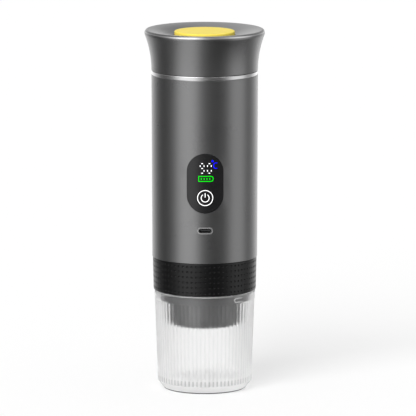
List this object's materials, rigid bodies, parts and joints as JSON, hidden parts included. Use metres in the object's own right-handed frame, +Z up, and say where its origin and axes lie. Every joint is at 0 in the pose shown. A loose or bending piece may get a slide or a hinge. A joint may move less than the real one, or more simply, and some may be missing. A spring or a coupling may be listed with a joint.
{
  "type": "portable espresso maker",
  "caption": "Slim battery-powered espresso maker standing on its clear reeded cup: flared screw lid with a vent button, grey body with display and charging port, dimpled grip ring.",
  "frame": {"origin": "centre of the cup's foot, on the table", "axes": "+Z up along the axis of the body, -Y out of the display, +X to the right seen from the front"},
  "size_m": [0.0796, 0.0796, 0.24],
  "materials": {
    "clear_plastic": "clear, polished",
    "body_grey": "dark grey, satin anodised",
    "trim_bright": "polished",
    "grip_black": "matt, dimpled",
    "head_grey": "satin",
    "window_black": "polished, smoked",
    "button_black": "polished",
    "vent_yellow": "matt silicone",
    "seal_silicone": "soft silicone",
    "stainless": "brushed",
    "inner_black": "moulded, fine grain",
    "liner_grey": "moulded, fine grain",
    "board_green": "solder mask",
    "display_dark": "glass front",
    "switch_white": "moulded",
    "cell_wrap": "shrink film",
    "heater_alloy": "machined",
    "motor_steel": "zinc plated",
    "gear_brass": "cut teeth",
    "hose_clear": "milky silicone",
    "bezel_grey": "satin"
  },
  "bodies": {
    "cup": {"cup": "clear_plastic"},
    "brew_head": {"brew_head": "head_grey", "grip_ring": "grip_black", "filter_basket": "stainless", "outlet_spout": "stainless"},
    "brew_gasket": {"brew_gasket": "seal_silicone"},
    "main": {"housing": "body_grey", "trim_ring": "trim_bright", "base_plate": "inner_black", "shower_screen": "stainless", "screen_screw": "stainless", "battery_cells": "cell_wrap", "battery_cradle": "inner_black", "frame_posts": "heater_alloy", "upper_deck": "inner_black", "deck_screws": "stainless", "heater_plate": "heater_alloy", "thermistor": "stainless", "water_tank": "stainless", "tank_gasket": "seal_silicone", "tank_neck": "inner_black", "pump_body": "inner_black", "pump_cover": "inner_black", "pump_screws": "stainless", "idler_pin": "stainless", "motor_can": "motor_steel", "motor_cap": "inner_black", "inlet_hose": "hose_clear", "outlet_hose": "hose_clear", "display_window": "window_black", "control_board": "board_green", "display_module": "display_dark", "power_switch": "switch_white", "usb_shell": "stainless", "usb_tongue": "inner_black", "usb_bezel": "bezel_grey"},
    "power_button": {"power_button": "button_black"},
    "pump_drive": {"drive_shaft": "stainless", "drive_gear": "gear_brass"},
    "pump_idler": {"idler_gear": "gear_brass"},
    "lid_seal": {"lid_seal": "seal_silicone"},
    "lid": {"lid_shell": "body_grey", "lid_liner": "liner_grey", "vent_spring": "stainless"},
    "vent": {"vent_button": "vent_yellow", "vent_stem": "liner_grey", "vent_valve": "seal_silicone"}
  },
  "joints": [
    {"name": "cup_lift", "type": "slide", "parent": "cup", "child": "brew_head", "axis": [0, 0, 1], "range_m": [0, 0.06]},
    {"name": "head_lift", "type": "slide", "parent": "brew_head", "child": "brew_gasket", "axis": [0, 0, 1], "range_m": [0, 0.0161]},
    {"name": "head_turn", "type": "hinge", "parent": "brew_gasket", "child": "main", "pos_m": [0, 0, 0], "axis": [0, 0, 1], "range_deg": [0, 360]},
    {"name": "power_press", "type": "slide", "parent": "main", "child": "power_button", "axis": [0, 1, 0], "range_m": [0, 0.0005], "stiffness_N_per_m": 1200, "springref_m": -0.0005},
    {"name": "drive_spin", "type": "hinge", "parent": "main", "child": "pump_drive", "pos_m": [0, 0, 0.1], "axis": [0, 0, 1], "continuous": true},
    {"name": "idler_spin", "type": "hinge", "parent": "main", "child": "pump_idler", "pos_m": [0, -0.009, 0.1], "axis": [0, 0, 1], "continuous": true},
    {"name": "lid_lift", "type": "slide", "parent": "main", "child": "lid_seal", "axis": [0, 0, 1], "range_m": [0, 0.0161]},
    {"name": "lid_turn", "type": "hinge", "parent": "lid_seal", "child": "lid", "pos_m": [0, 0, 0.21], "axis": [0, 0, 1], "range_deg": [0, 360]},
    {"name": "vent_press", "type": "slide", "parent": "lid", "child": "vent", "axis": [0, 0, -1], "range_m": [0, 0.0015], "stiffness_N_per_m": 400, "springref_m": -0.002, "deforming": ["vent_spring"]}
  ],
  "couplings": [
    {"joint": "head_lift", "follows": "head_turn", "m_per_rad": 0.0025465},
    {"joint": "lid_lift", "follows": "lid_turn", "m_per_rad": 0.0025465},
    {"joint": "idler_spin", "follows": "drive_spin", "ratio": -1}
  ]
}
